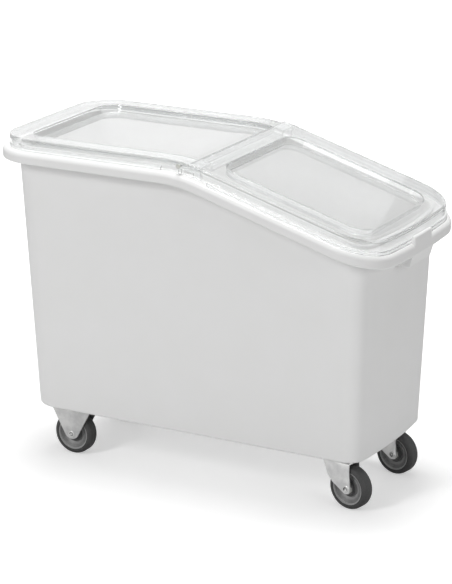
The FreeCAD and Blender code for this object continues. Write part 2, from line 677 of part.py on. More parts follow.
def hinge_pegs():
    """Two headed pegs, pressed into the rear lid, on which the front lid's ears turn."""
    pegs = []
    pivot = hinge_point()
    for side in SIDES.values():
        ear = HALF_WIDTH - FRONT_WALL_INSET + PEG_HEAD_GAP
        tip = HALF_WIDTH - REAR_LID_INSET - REAR_GROOVE - SHEET
        shank = rod(PEG_RADIUS, pivot.x, side * tip, side * ear, pivot.z)
        head = rod(PEG_HEAD_RADIUS, pivot.x, side * ear, side * (ear + PEG_HEAD), pivot.z)
        pegs.append(shank.fuse(head))
    return Part.makeCompound(pegs)


# Casters. Each is modelled at its place on the viewer's side or the far side.

def turned(points, x, y, z):
    """Ring or disc turned about a wheel axle, from its half section (radius, across)."""
    corners = [vec(x + r, y + across, z) for r, across in points]
    face = Part.Face(Part.makePolygon(corners + corners[:1]))
    return face.revolve(vec(x, y, z), Y_AXIS, 360)


def tangent(point, centre, radius, turn):
    """Where a line from the point touches a circle, on the side given by the turn."""
    dx = point[0] - centre[0]
    dz = point[1] - centre[1]
    reach = math.hypot(dx, dz)
    angle = math.atan2(dz, dx) + turn * math.acos(radius / reach)
    return (centre[0] + radius * math.cos(angle), centre[1] + radius * math.sin(angle))


def leg_face(points, centre, radius, y):
    """Side shape of a fork's leg: the given corners, then a round tip."""
    first = tangent(points[0], centre, radius, 1)
    last = tangent(points[-1], centre, radius, -1)
    corners = [vec(x, y, z) for x, z in [first] + points + [last]]
    sides = [Part.LineSegment(a, b).toShape() for a, b in zip(corners, corners[1:])]
    tip = Part.Arc(corners[-1], vec(centre[0], y, centre[1] - radius), corners[0]).toShape()
    return Part.Face(Part.Wire(sides + [tip]))


def screw_holes(x, y):
    radius = SCREW_RADIUS + SCREW_HOLE_CLEARANCE
    holes = []
    for px, py in screw_places():
        if abs(px - x) < PLATE_LENGTH / 2 and abs(py - y) < PLATE_WIDTH / 2:
            holes.append(Part.makeCylinder(radius, PLATE + OVERRUN + OVERRUN, vec(px, py, PLATE_BOTTOM - OVERRUN)))
    return holes


def axle_hole(x, y):
    reach = LEG_OUTER + OVERRUN
    return rod(AXLE_RADIUS + TURN_CLEARANCE, x, y - reach, y + reach, WHEEL_RADIUS)


def rigid_fork(side):
    """Rear fork: a plate and two tapered legs in one pressing."""
    x = REAR_AXLE_X
    y = side * CASTER_Y
    plate = rounded_block(x, y, PLATE_LENGTH, PLATE_WIDTH, PLATE_CORNER, PLATE_BOTTOM, PLATE_Z)
    half = PLATE_LENGTH / 2 - REAR_LEG_SETBACK
    corners = [(x - half, PLATE_BOTTOM), (x + half, PLATE_BOTTOM)]
    legs = leg_face(corners, (x, WHEEL_RADIUS + REAR_TIP_RISE), REAR_TIP_RADIUS, y - LEG_OUTER)
    legs = legs.extrude(Y_AXIS * (LEG_OUTER + LEG_OUTER))
    inside = box(x - half - OVERRUN, x + half + OVERRUN, y - LEG_INNER, y + LEG_INNER, 0, PLATE_BOTTOM)
    fork = plate.fuse(legs.cut(inside)).removeSplitter()
    return fork.cut(screw_holes(x, y) + [axle_hole(x, y)])


def race(x, y, z_low, z_high):
    """Raceway ring, cut by the path of the balls with their clearance."""
    ring = Part.makeCylinder(RACE_OUTER, z_high - z_low, vec(x, y, z_low))
    ring = ring.cut(Part.makeCylinder(RACE_INNER, z_high - z_low, vec(x, y, z_low)))
    path = Part.makeTorus(BALL_CIRCLE, BALL_RADIUS + BALL_CLEARANCE, vec(x, y, ball_z()))
    return ring.cut(path)


def ball_z():
    return (CROWN_TOP + PLATE_BOTTOM) / 2


def swung(shape, side):
    """The shape carried round the swivel axis with its caster."""
    shape.rotate(vec(SWIVEL_X, side * CASTER_Y, 0), Z_AXIS, -CASTER_TURN_DEG)
    return shape


def swivel_fork(side):
    """Front fork: crown, two trailing legs and the lower raceway."""
    y = side * CASTER_Y
    corners = [LEG_WAIST, LEG_KNEE, (LEG_BACK_X, CROWN_TOP), (LEG_FRONT_X, CROWN_TOP)]
    block = leg_face(corners, (FRONT_AXLE_X, WHEEL_RADIUS), FRONT_TIP_RADIUS, y - LEG_OUTER)
    block = block.extrude(Y_AXIS * (LEG_OUTER + LEG_OUTER))
    bend = [e for e in block.Edges if abs(e.CenterOfMass.z - CROWN_TOP) < 0.1 and e.BoundBox.XLength > 1]
    block = block.makeFillet(CROWN_BEND_RADIUS, bend)
    crown_low = CROWN_TOP - FORK_SHEET
    inside = box(0, HALF_LENGTH, y - LEG_INNER, y + LEG_INNER, 0, crown_low)
    disc = Part.makeCylinder(CROWN_RADIUS, FORK_SHEET, vec(SWIVEL_X, y, crown_low))
    lower_race = race(SWIVEL_X, y, CROWN_TOP, CROWN_TOP + RACE_HEIGHT)
    fork = block.cut(inside).fuse([disc, lower_race]).removeSplitter()
    pin = Part.makeCylinder(KINGPIN_RADIUS + TURN_CLEARANCE, PLATE_Z, vec(SWIVEL_X, y, 0))
    return fork.cut([pin, axle_hole(FRONT_AXLE_X, y)])


def top_plate(side):
    """Front plate with the upper raceway and a skirt round the balls."""
    y = side * CASTER_Y
    plate = rounded_block(SWIVEL_X, y, PLATE_LENGTH, PLATE_WIDTH, PLATE_CORNER, PLATE_BOTTOM, PLATE_Z)
    upper_race = race(SWIVEL_X, y, PLATE_BOTTOM - RACE_HEIGHT, PLATE_BOTTOM)
    skirt_low = CROWN_TOP + RACE_SKIRT_GAP
    skirt = Part.makeCylinder(RACE_SKIRT_RADIUS, PLATE_BOTTOM - skirt_low, vec(SWIVEL_X, y, skirt_low))
    skirt = skirt.cut(Part.makeCylinder(RACE_OUTER + RACE_SKIRT_GAP, PLATE_BOTTOM - skirt_low,
                                        vec(SWIVEL_X, y, skirt_low)))
    plate = plate.fuse([upper_race, skirt]).removeSplitter()
    pin = Part.makeCylinder(KINGPIN_RADIUS, PLATE_Z, vec(SWIVEL_X, y, 0))
    return plate.cut([pin] + screw_holes(SWIVEL_X, y))


def balls(side):
    y = side * CASTER_Y
    shapes = []
    for i in range(BALL_COUNT):
        angle = math.tau * i / BALL_COUNT
        place = vec(SWIVEL_X + BALL_CIRCLE * math.cos(angle), y + BALL_CIRCLE * math.sin(angle), ball_z())
        shapes.append(Part.makeSphere(BALL_RADIUS, place))
    return Part.makeCompound(shapes)


def kingpin(side):
    """Rivet through plate and crown, flush with the plate's top."""
    y = side * CASTER_Y
    head_top = CROWN_TOP - FORK_SHEET - KINGPIN_HEAD_GAP
    shank = Part.makeCylinder(KINGPIN_RADIUS, PLATE_Z - head_top, vec(SWIVEL_X, y, head_top))
    head = Part.makeCylinder(KINGPIN_HEAD_RADIUS, KINGPIN_HEAD, vec(SWIVEL_X, y, head_top - KINGPIN_HEAD))
    return shank.fuse(head).removeSplitter()


def axle(x, side):
    """Rivet through both legs, with a low dimpled head on either side."""
    y = side * CASTER_Y
    rivet = rod(AXLE_RADIUS, x, y - LEG_OUTER, y + LEG_OUTER, WHEEL_RADIUS)
    for s in SIDES.values():
        face = y + s * LEG_OUTER
        crest = face + s * AXLE_HEAD
        rivet = rivet.fuse(rod(AXLE_HEAD_RADIUS, x, face, crest, WHEEL_RADIUS))
        rivet = rivet.cut(rod(AXLE_DIMPLE_RADIUS, x, crest - s * AXLE_DIMPLE, crest + s * OVERRUN, WHEEL_RADIUS))
    return rivet.removeSplitter()


def bushes(x, side):
    """Two flanged bushes, pressed into the hub from either face."""
    y = side * CASTER_Y
    bore = AXLE_RADIUS + TURN_CLEARANCE
    face = HUB_WIDTH / 2
    shapes = []
    for s in (-1, 1):
        section = [
            (bore, s * BUSH_GAP),
            (BUSH_RADIUS, s * BUSH_GAP),
            (BUSH_RADIUS, s * face),
            (BUSH_FLANGE_RADIUS, s * face),
            (BUSH_FLANGE_RADIUS, s * (face + BUSH_FLANGE)),
            (bore, s * (face + BUSH_FLANGE)),
        ]
        shapes.append(turned(section, x, y, WHEEL_RADIUS))
    return Part.makeCompound(shapes)


def wheel_core(x, side):
    """Moulded centre: hub, boss and a dished web out to the ring the tyre sits on."""
    half = [
        (BUSH_RADIUS, HUB_WIDTH / 2),
        (HUB_RADIUS, HUB_WIDTH / 2),
        (HUB_RADIUS, CORE_BOSS),
        (CORE_BOSS_RADIUS - CORE_BOSS_BEVEL, CORE_BOSS),
        (CORE_BOSS_RADIUS, DISH_FOOT),
        (CORE_RADIUS - CORE_LIP, DISH_RIM),
        (CORE_RADIUS - CORE_LIP, CORE_WIDTH / 2),
        (CORE_RADIUS, CORE_WIDTH / 2),
    ]
    section = half + [(radius, -across) for radius, across in reversed(half)]
    return turned(section, x, side * CASTER_Y, WHEEL_RADIUS)


def tyre(x, side):
    """Rubber tyre with strongly rounded shoulders."""
    y = side * CASTER_Y
    half = TREAD_WIDTH / 2
    ring = turned([
        (CORE_RADIUS, -half),
        (WHEEL_RADIUS, -half),
        (WHEEL_RADIUS, half),
        (CORE_RADIUS, half),
    ], x, y, WHEEL_RADIUS)
    shoulders = [e for e in ring.Edges
                 if e.BoundBox.XLength > WHEEL_RADIUS + CORE_RADIUS and e.BoundBox.YLength < 0.1]
    return ring.makeFillet(TREAD_SHOULDER, shoulders)


def caster_screws():
    """Sixteen socket screws, up through the plates into the inserts."""
    screws = []
    for x, y in screw_places():
        head_low = PLATE_BOTTOM - SCREW_HEAD
        head = Part.makeCylinder(SCREW_HEAD_RADIUS, SCREW_HEAD, vec(x, y, head_low))
        head = head.makeFillet(SCREW_HEAD_ROUND, low_edges(head, head_low))
        shank = Part.makeCylinder(SCREW_RADIUS, SCREW_LENGTH, vec(x, y, PLATE_BOTTOM))
        corners = [vec(x + SCREW_SOCKET_RADIUS * math.cos(math.radians(a)),
                       y + SCREW_SOCKET_RADIUS * math.sin(math.radians(a)), head_low)
                   for a in range(0, 361, 60)]
        socket = Part.Face(Part.makePolygon(corners)).extrude(Z_AXIS * SCREW_SOCKET_DEPTH)
        screws.append(head.fuse(shank).cut(socket))
    return Part.makeCompound(screws)


def tub_inserts():
    """Threaded inserts moulded into the tub over the caster wells."""
    shapes = []
    for x, y in screw_places():
        sleeve = Part.makeCylinder(INSERT_RADIUS, INSERT_LENGTH, vec(x, y, PLATE_Z))
        shapes.append(sleeve.cut(Part.makeCylinder(SCREW_RADIUS, INSERT_LENGTH, vec(x, y, PLATE_Z))))
    return Part.makeCompound(shapes)


os.makedirs("parts", exist_ok=True)
export(tub(), "tub")
export(tub_inserts(), "tub_inserts")
export(rear_lid(), "rear_lid")
export(front_lid(), "front_lid")
export(hinge_pegs(), "hinge_pegs")
export(caster_screws(), "caster_screws")
export(Part.makeCompound([axle(REAR_AXLE_X, s) for s in SIDES.values()]), "rear_axles")
for name, sign in SIDES.items():
    export(rigid_fork(sign), "rear_" + name + "_fork")
    export(bushes(REAR_AXLE_X, sign), "rear_" + name + "_bushes")
    export(wheel_core(REAR_AXLE_X, sign), "rear_" + name + "_wheel_core")
    export(tyre(REAR_AXLE_X, sign), "rear_" + name + "_tyre")
    export(top_plate(sign), "front_" + name + "_top_plate")
    export(balls(sign), "front_" + name + "_balls")
    export(kingpin(sign), "front_" + name + "_kingpin")
    export(swung(swivel_fork(sign), sign), "front_" + name + "_fork")
    export(swung(axle(FRONT_AXLE_X, sign), sign), "front_" + name + "_axle")
    export(swung(bushes(FRONT_AXLE_X, sign), sign), "front_" + name + "_bushes")
    export(swung(wheel_core(FRONT_AXLE_X, sign), sign), "front_" + name + "_wheel_core")
    export(swung(tyre(FRONT_AXLE_X, sign), sign), "front_" + name + "_tyre")
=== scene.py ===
import json
import math

import bpy
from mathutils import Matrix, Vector

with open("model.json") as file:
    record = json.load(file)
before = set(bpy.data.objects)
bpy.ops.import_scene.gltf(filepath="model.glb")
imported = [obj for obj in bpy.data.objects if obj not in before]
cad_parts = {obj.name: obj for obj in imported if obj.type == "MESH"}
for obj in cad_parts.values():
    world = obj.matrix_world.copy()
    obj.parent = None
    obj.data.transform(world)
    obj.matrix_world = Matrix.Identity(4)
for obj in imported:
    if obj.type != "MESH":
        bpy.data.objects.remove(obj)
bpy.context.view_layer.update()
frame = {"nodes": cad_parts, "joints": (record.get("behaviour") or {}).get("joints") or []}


# Camera: the photograph's own viewpoint, seen a little from above and from the low end.
# A long lens from about four and a half metres keeps the bin's sides nearly parallel.

LENS_MM = 156.307
SENSOR_MM = 36.0
CAMERA_PLACE = (2.0141, -3.7195, 1.6373)
CAMERA_DOWN = 17.391        # degrees below level
CAMERA_TURN = 28.433        # degrees round from square on to the bin's long side
SEEN_FROM = 0.1             # metres from the camera at which things start to show,
SEEN_TO = 60.0              # and past which they no longer do

camera_data = bpy.data.cameras.new("studio_camera")
camera_data.lens = LENS_MM
camera_data.sensor_width = SENSOR_MM
camera_data.clip_start = SEEN_FROM
camera_data.clip_end = SEEN_TO
camera = bpy.data.objects.new("studio_camera", camera_data)
camera.location = CAMERA_PLACE
camera.rotation_euler = (math.radians(90 - CAMERA_DOWN), 0, math.radians(CAMERA_TURN))
bpy.context.scene.collection.objects.link(camera)
bpy.context.scene.camera = camera
bpy.context.scene.view_settings.view_transform = "Standard"


# Studio: a white floor in a white surround, with a lamp overhead, two before the bin's
# near side, one at its low end and a faint one behind. The floor's white is added for the
# eye alone, so that the bin's shadow stays on it and nothing is lit harder for its sake.

STUDIO_WHITE = "#FFFFFF"
SURROUND_SEEN = 1.0         # the surround's strength to the eye, in gloss and through the lids
SURROUND_FILL = 0.24        # and as light on the bin
FLOOR_SIZE = 24.0           # metres
FLOOR_CLOUD_MM = 333.0
FLOOR_DARK = 0.78           # the floor paint's own lightness, from
FLOOR_LIGHT = 0.82          # cloud to cloud
NEAR_LIFT = 0.43            # white that the eye sees on the floor under the bin
FAR_LIFT = 0.95             # and where the floor runs out of the lamps' reach
LIFT_FROM = 0.3             # metres from the middle of the floor
LIFT_TO = 1.2
CLOUD_DETAIL = 3.0          # layers of noise in a soft cloud


def linear(code):
    """Linear colour of an sRGB hex code, by the sRGB standard's own curve."""
    parts = [int(code[i:i + 2], 16) / 255 for i in (1, 3, 5)]
    return [p / 12.92 if p <= 0.04045 else ((p + 0.055) / 1.055) ** 2.4 for p in parts] + [1.0]


def add(tree, kind, inputs=None, **settings):
    """Adds a node. An input is a value, or a node and its output's name to link from."""
    made = tree.nodes.new(kind)
    for key, value in settings.items():
        setattr(made, key, value)
    for key, value in (inputs or {}).items():
        if isinstance(value, tuple) and isinstance(value[0], bpy.types.Node):
            tree.links.new(value[0].outputs[value[1]], made.inputs[key])
        else:
            made.inputs[key].default_value = value
    return made


def blank_material(name):
    """A node material with nothing in it, and its tree."""
    material = bpy.data.materials.new(name)
    material.use_nodes = True
    material.node_tree.nodes.clear()
    return material, material.node_tree


def per_metre(mm):
    """Scale of a pattern whose marks are this many millimetres apart."""
    return 1000 / mm


surround = bpy.data.worlds.new("white_surround")
surround.use_nodes = True
tree = surround.node_tree
tree.nodes.clear()
path = add(tree, "ShaderNodeLightPath")
seen = add(tree, "ShaderNodeMath", {
    0: (path, "Is Camera Ray"), 1: (path, "Is Glossy Ray")}, operation="ADD")
seen = add(tree, "ShaderNodeMath", {
    0: (seen, "Value"), 1: (path, "Is Transmission Ray")}, operation="ADD", use_clamp=True)
strength = add(tree, "ShaderNodeMapRange", {
    "Value": (seen, "Value"), "To Min": SURROUND_FILL, "To Max": SURROUND_SEEN})
shade = add(tree, "ShaderNodeBackground", {
    "Color": linear(STUDIO_WHITE), "Strength": (strength, "Result")})
add(tree, "ShaderNodeOutputWorld", {"Surface": (shade, "Background")})
bpy.context.scene.world = surround

# Matt emulsion paint, rolled on: an even white with hardly a cloud in it.
studio_floor, tree = blank_material("studio_floor_paint")
path = add(tree, "ShaderNodeLightPath")
place = add(tree, "ShaderNodeTexCoord")
cloud = add(tree, "ShaderNodeTexNoise", {
    "Vector": (place, "Object"), "Scale": per_metre(FLOOR_CLOUD_MM), "Detail": CLOUD_DETAIL})
tone = add(tree, "ShaderNodeMapRange", {
    "Value": (cloud, "Fac"), "To Min": FLOOR_DARK, "To Max": FLOOR_LIGHT})
paint = add(tree, "ShaderNodeBsdfDiffuse", {"Color": (tone, "Result")})
away = add(tree, "ShaderNodeVectorMath", {0: (place, "Object")}, operation="LENGTH")
lift = add(tree, "ShaderNodeMapRange", {
    "Value": (away, "Value"), "From Min": LIFT_FROM, "From Max": LIFT_TO,
    "To Min": NEAR_LIFT, "To Max": FAR_LIFT})
lift = add(tree, "ShaderNodeMath", {
    0: (path, "Is Camera Ray"), 1: (lift, "Result")}, operation="MULTIPLY")
glow = add(tree, "ShaderNodeEmission", {
    "Color": linear(STUDIO_WHITE), "Strength": (lift, "Value")})
lit = add(tree, "ShaderNodeAddShader", {0: (paint, "BSDF"), 1: (glow, "Emission")})
add(tree, "ShaderNodeOutputMaterial", {"Surface": (lit, "Shader")})

bpy.ops.object.select_all(action="DESELECT")
bpy.ops.mesh.primitive_plane_add(size=FLOOR_SIZE)
floor = bpy.context.object
floor.name = "studio_floor"
floor.data.materials.append(studio_floor)


def softbox(name, place, target, width, watts):
    """Square lamp that faces a point."""
    data = bpy.data.lights.new(name, "AREA")
    data.shape = "SQUARE"
    data.size = width
    data.energy = watts
    lamp = bpy.data.objects.new(name, data)
    lamp.location = place
    lamp.rotation_euler = (Vector(target) - Vector(place)).to_track_quat("-Z", "Y").to_euler()
    lamp.visible_camera = False
    bpy.context.scene.collection.objects.link(lamp)


# The strip draws the bright streak along the front lid's sunk panel, and the glow behind
# is what the flat of the lids mirrors.
softbox("overhead", place=(-0.2, 0.35, 3.2), target=(0, 0, 0.3), width=1.3, watts=56)
softbox("side_fill", place=(-1.2, -3.4, 2.8), target=(0, 0, 0.35), width=0.8, watts=33)
softbox("strip", place=(-1.25, -3.7, 2.1), target=(0, 0, 0.5), width=1.0, watts=24)
softbox("end_fill", place=(3.4, -1.0, 1.4), target=(0.2, 0, 0.35), width=1.6, watts=21)
softbox("backdrop_glow", place=(-1.9, 3.9, 2.0), target=(0, 0, 0.5), width=2.6, watts=10)


# Tub: one moulded shell of natural white polyethylene, with tapered walls, a rolled rim
# and a pull at the front. The mould leaves the plastic a satin skin with a soft mottle
# and a faint orange peel.

PE_WHITE = "#F3F3F3"
PE_WARM = "#F0F0EF"
PE_SMOOTH = 0.34            # roughness, from
PE_ROUGH = 0.44             # patch to patch
PE_IOR = 1.51
PE_SHINE = 0.4              # strength of the surface gloss
PE_MOTTLE_MM = 60.0
PE_PEEL_MM = 3.0            # the real skin's grain is under a millimetre, drawn coarser to show
PE_PEEL_DEPTH = 0.0004
PE_PEEL_STRENGTH = 0.05
GRAIN_DETAIL = 2.0          # layers of noise in a fine grain

polyethylene, tree = blank_material("moulded_white_polyethylene")
place = add(tree, "ShaderNodeTexCoord")
mottle = add(tree, "ShaderNodeTexNoise", {
    "Vector": (place, "Object"), "Scale": per_metre(PE_MOTTLE_MM), "Detail": CLOUD_DETAIL})
colour = add(tree, "ShaderNodeMix", {
    "Factor": (mottle, "Fac"), "A": linear(PE_WHITE), "B": linear(PE_WARM)}, data_type="RGBA")
sheen = add(tree, "ShaderNodeMapRange", {
    "Value": (mottle, "Fac"), "To Min": PE_SMOOTH, "To Max": PE_ROUGH})
peel = add(tree, "ShaderNodeTexNoise", {
    "Vector": (place, "Object"), "Scale": per_metre(PE_PEEL_MM), "Detail": GRAIN_DETAIL})
bump = add(tree, "ShaderNodeBump", {
    "Height": (peel, "Fac"), "Strength": PE_PEEL_STRENGTH, "Distance": PE_PEEL_DEPTH})
skin = add(tree, "ShaderNodeBsdfPrincipled", {
    "Base Color": (colour, "Result"), "Roughness": (sheen, "Result"),
    "Normal": (bump, "Normal"), "IOR": PE_IOR, "Specular IOR Level": PE_SHINE})
add(tree, "ShaderNodeOutputMaterial", {"Surface": (skin, "BSDF")})


def finish_piece(name, material):
    """Gives a CAD piece its real finish."""
    for slot in frame["nodes"][name].material_slots:
        slot.material = material


finish_piece("tub", polyethylene)


# Lids: clear polycarbonate sheet, drawn to a banded edge and a sunk panel. It is bright
# and hard with fine wipe marks, bends the view a little at its edges, and lets the lamps'
# light straight through to the tub.

PC_TINT = "#FCFDFD"
PC_SHADE = "#FDFDFD"        # the lamps' light that is left behind the sheet
PC_BLOOM = "#F4F5F5"        # the wipe marks' own white
PC_IOR = 1.35               # solid sheet has 1.58, and one so thin bends the view less
PC_THIN_SHARE = 0.2         # share of the view that passes the sheet without bending
PC_EDGE_GLOSS = 0.1         # low, so that this share shines only at a glancing view
PC_WIPE_MM = 6.0            # real wipe marks are hair-fine, drawn coarser to show
PC_WIPE_DETAIL = 4.0
PC_SMOOTH = 0.01            # roughness, clear of
PC_ROUGH = 0.03             # and in the wipe marks
PC_VEIL_THIN = 0.02         # share of the bloom, clear of
PC_VEIL_THICK = 0.06        # and in the wipe marks

polycarbonate, tree = blank_material("clear_polycarbonate_sheet")
place = add(tree, "ShaderNodeTexCoord")
wipes = add(tree, "ShaderNodeTexNoise", {
    "Vector": (place, "Object"), "Scale": per_metre(PC_WIPE_MM), "Detail": PC_WIPE_DETAIL})
haze = add(tree, "ShaderNodeMapRange", {
    "Value": (wipes, "Fac"), "To Min": PC_SMOOTH, "To Max": PC_ROUGH})
bent = add(tree, "ShaderNodeBsdfPrincipled", {
    "Base Color": linear(PC_TINT), "Roughness": (haze, "Result"), "IOR": PC_IOR,
    "Transmission Weight": 1.0})
glance = add(tree, "ShaderNodeLayerWeight", {"Blend": PC_EDGE_GLOSS})
straight = add(tree, "ShaderNodeBsdfTransparent", {"Color": linear(PC_TINT)})
gloss = add(tree, "ShaderNodeBsdfAnisotropic", {"Roughness": (haze, "Result")})
unbent = add(tree, "ShaderNodeMixShader", {
    0: (glance, "Facing"), 1: (straight, "BSDF"), 2: (gloss, "BSDF")})
sheet = add(tree, "ShaderNodeMixShader", {
    0: PC_THIN_SHARE, 1: (bent, "BSDF"), 2: (unbent, "Shader")})
bloom = add(tree, "ShaderNodeBsdfDiffuse", {"Color": linear(PC_BLOOM)})
veil = add(tree, "ShaderNodeMapRange", {
    "Value": (wipes, "Fac"), "To Min": PC_VEIL_THIN, "To Max": PC_VEIL_THICK})
hazy = add(tree, "ShaderNodeMixShader", {
    0: (veil, "Result"), 1: (sheet, "Shader"), 2: (bloom, "BSDF")})
path = add(tree, "ShaderNodeLightPath")
lamp_rays = add(tree, "ShaderNodeMath", {
    0: (path, "Is Shadow Ray"), 1: (path, "Is Diffuse Ray")}, operation="MAXIMUM")
clear = add(tree, "ShaderNodeBsdfTransparent", {"Color": linear(PC_SHADE)})
lid = add(tree, "ShaderNodeMixShader", {
    0: (lamp_rays, "Value"), 1: (hazy, "Shader"), 2: (clear, "BSDF")})
add(tree, "ShaderNodeOutputMaterial", {"Surface": (lid, "Shader")})

finish_piece("rear_lid", polycarbonate)
finish_piece("front_lid", polycarbonate)


# Hinge pegs: two small pins of natural nylon, moulded and pressed through the front lid's
# ears into the rear lid. Nylon of this kind is a slightly waxy off-white.

NYLON_LIGHT = "#D9D9D4"
NYLON_DARK = "#CFCFC9"
NYLON_ROUGH = 0.38
NYLON_IOR = 1.53
NYLON_MOTTLE_MM = 4.55

nylon, tree = blank_material("moulded_natural_nylon")
place = add(tree, "ShaderNodeTexCoord")
mottle = add(tree, "ShaderNodeTexNoise", {
    "Vector": (place, "Object"), "Scale": per_metre(NYLON_MOTTLE_MM), "Detail": GRAIN_DETAIL})
colour = add(tree, "ShaderNodeMix", {
    "Factor": (mottle, "Fac"), "A": linear(NYLON_LIGHT), "B": linear(NYLON_DARK)},
    data_type="RGBA")
skin = add(tree, "ShaderNodeBsdfPrincipled", {
    "Base Color": (colour, "Result"), "Roughness": NYLON_ROUGH, "IOR": NYLON_IOR})
add(tree, "ShaderNodeOutputMaterial", {"Surface": (skin, "BSDF")})

finish_piece("hinge_pegs", nylon)


# Tub inserts: sixteen threaded bushes of turned brass, moulded into the tub over the
# caster wells for the screws. Turning leaves the brass a soft yellow shine.

BRASS_YELLOW = "#C9A35A"
BRASS_SMOOTH = 0.25         # roughness, from
BRASS_ROUGH = 0.4           # one tool mark to the next
BRASS_MARK_MM = 2.5

brass, tree = blank_material("turned_brass")
place = add(tree, "ShaderNodeTexCoord")
marks = add(tree, "ShaderNodeTexNoise", {
    "Vector": (place, "Object"), "Scale": per_metre(BRASS_MARK_MM)})
shine = add(tree, "ShaderNodeMapRange", {
    "Value": (marks, "Fac"), "To Min": BRASS_SMOOTH, "To Max": BRASS_ROUGH})
metal = add(tree, "ShaderNodeBsdfPrincipled", {
    "Base Color": linear(BRASS_YELLOW), "Metallic": 1.0, "Roughness": (shine, "Result")})
add(tree, "ShaderNodeOutputMaterial", {"Surface": (metal, "BSDF")})

finish_piece("tub_inserts", brass)


# Caster steel: forks and plates pressed from sheet and plated with bright zinc, with
# screws, kingpins and balls to match. It is a soft grey metal with a cloudy plate and
# faint rolling marks. The rear forks take a darker copy of it, which is painted shade.

ZINC = "#FCFCFB"
ZINC_DARK = "#E2E2E2"
SHADED_ZINC = "#DEDEDD"
SHADED_ZINC_DARK = "#C4C4C4"
PLATE_SMOOTH = 0.28         # roughness, from
PLATE_ROUGH = 0.46          # one rolling mark to the next
PLATE_CLOUD_MM = 20.0
CLOUD_FROM = 0.35           # part of the noise's range over which a cloud
CLOUD_TO = 0.65             # goes from clear to full
ROLL_MARK_MM = 0.8          # real marks are finer, drawn coarser to show
ROLL_MARK_DRAW = 0.08       # a mark's width to its length, which runs up the fork


def zinc_plate(name, light, dark):
    """Zinc-plated steel with a cloudy plate and faint rolling marks."""
    plate, tree = blank_material(name)
    place = add(tree, "ShaderNodeTexCoord")
    drawn = add(tree, "ShaderNodeMapping", {
        "Vector": (place, "Object"), "Scale": (1.0, 1.0, ROLL_MARK_DRAW)})
    marks = add(tree, "ShaderNodeTexNoise", {
        "Vector": (drawn, "Vector"), "Scale": per_metre(ROLL_MARK_MM), "Detail": GRAIN_DETAIL})
    cloud = add(tree, "ShaderNodeTexNoise", {
        "Vector": (place, "Object"), "Scale": per_metre(PLATE_CLOUD_MM),
        "Detail": CLOUD_DETAIL})
    cloud = add(tree, "ShaderNodeMapRange", {
        "Value": (cloud, "Fac"), "From Min": CLOUD_FROM, "From Max": CLOUD_TO})
    colour = add(tree, "ShaderNodeMix", {
        "Factor": (cloud, "Result"), "A": linear(light), "B": linear(dark)},
        data_type="RGBA")
    shine = add(tree, "ShaderNodeMapRange", {
        "Value": (marks, "Fac"), "To Min": PLATE_SMOOTH, "To Max": PLATE_ROUGH})
    metal = add(tree, "ShaderNodeBsdfPrincipled", {
        "Base Color": (colour, "Result"), "Metallic": 1.0, "Roughness": (shine, "Result")})
    add(tree, "ShaderNodeOutputMaterial", {"Surface": (metal, "BSDF")})
    return plate


bright_zinc = zinc_plate("bright_zinc_plated_steel", ZINC, ZINC_DARK)
# A darker copy of the same zinc, painted shade, for the rear forks and the axles.
shaded_zinc = zinc_plate("zinc_plated_steel_painted_shade", SHADED_ZINC, SHADED_ZINC_DARK)

finish_piece("caster_screws", bright_zinc)
for side in ("right", "left"):
    finish_piece("rear_" + side + "_fork", shaded_zinc)
    for piece in ("top_plate", "balls", "fork", "kingpin"):
        finish_piece("front_" + side + "_" + piece, bright_zinc)


# Axles: zinc-plated steel pins through the forks, their ends riveted over cold, in the
# rear forks' darker zinc. A broken dark ring round the hollow in each end is painted shade.

AXLE_ROUGH = 0.45
PAINTED_SHADE_RING = "#2E2E2E"
SHADE_RING_RADIUS = 0.0030      # metres from the axle's line to the middle of the painted shade ring
SHADE_RING_HALF = 0.0004        # half the ring's width where it is fully dark, and with its fade to plain metal
SHADE_RING_FADE = 0.0011        # and with its fade to plain metal
SHADE_BREAK_MM = 6.0
SHADE_BREAK_DETAIL = 1.0
SHADE_BREAK_FROM = 0.50    # part of the noise's range over which the ring goes from whole to broken off
SHADE_BREAK_TO = 0.56      # goes from cut to smeared shut


def axle_distance(tree, wheel):
    """Node whose Value is the distance in metres from a wheel's axle."""
    joint = next(j for j in frame["joints"] if j["name"] == wheel + "_wheel_spin")
    place = add(tree, "ShaderNodeTexCoord")
    arm = add(tree, "ShaderNodeVectorMath", {
        0: (place, "Object"), 1: joint["pos_m"]}, operation="SUBTRACT")
    reach = add(tree, "ShaderNodeVectorMath", {
        0: (arm, "Vector"), 1: joint["axis"]}, operation="CROSS_PRODUCT")
    return add(tree, "ShaderNodeVectorMath", {0: (reach, "Vector")}, operation="LENGTH")


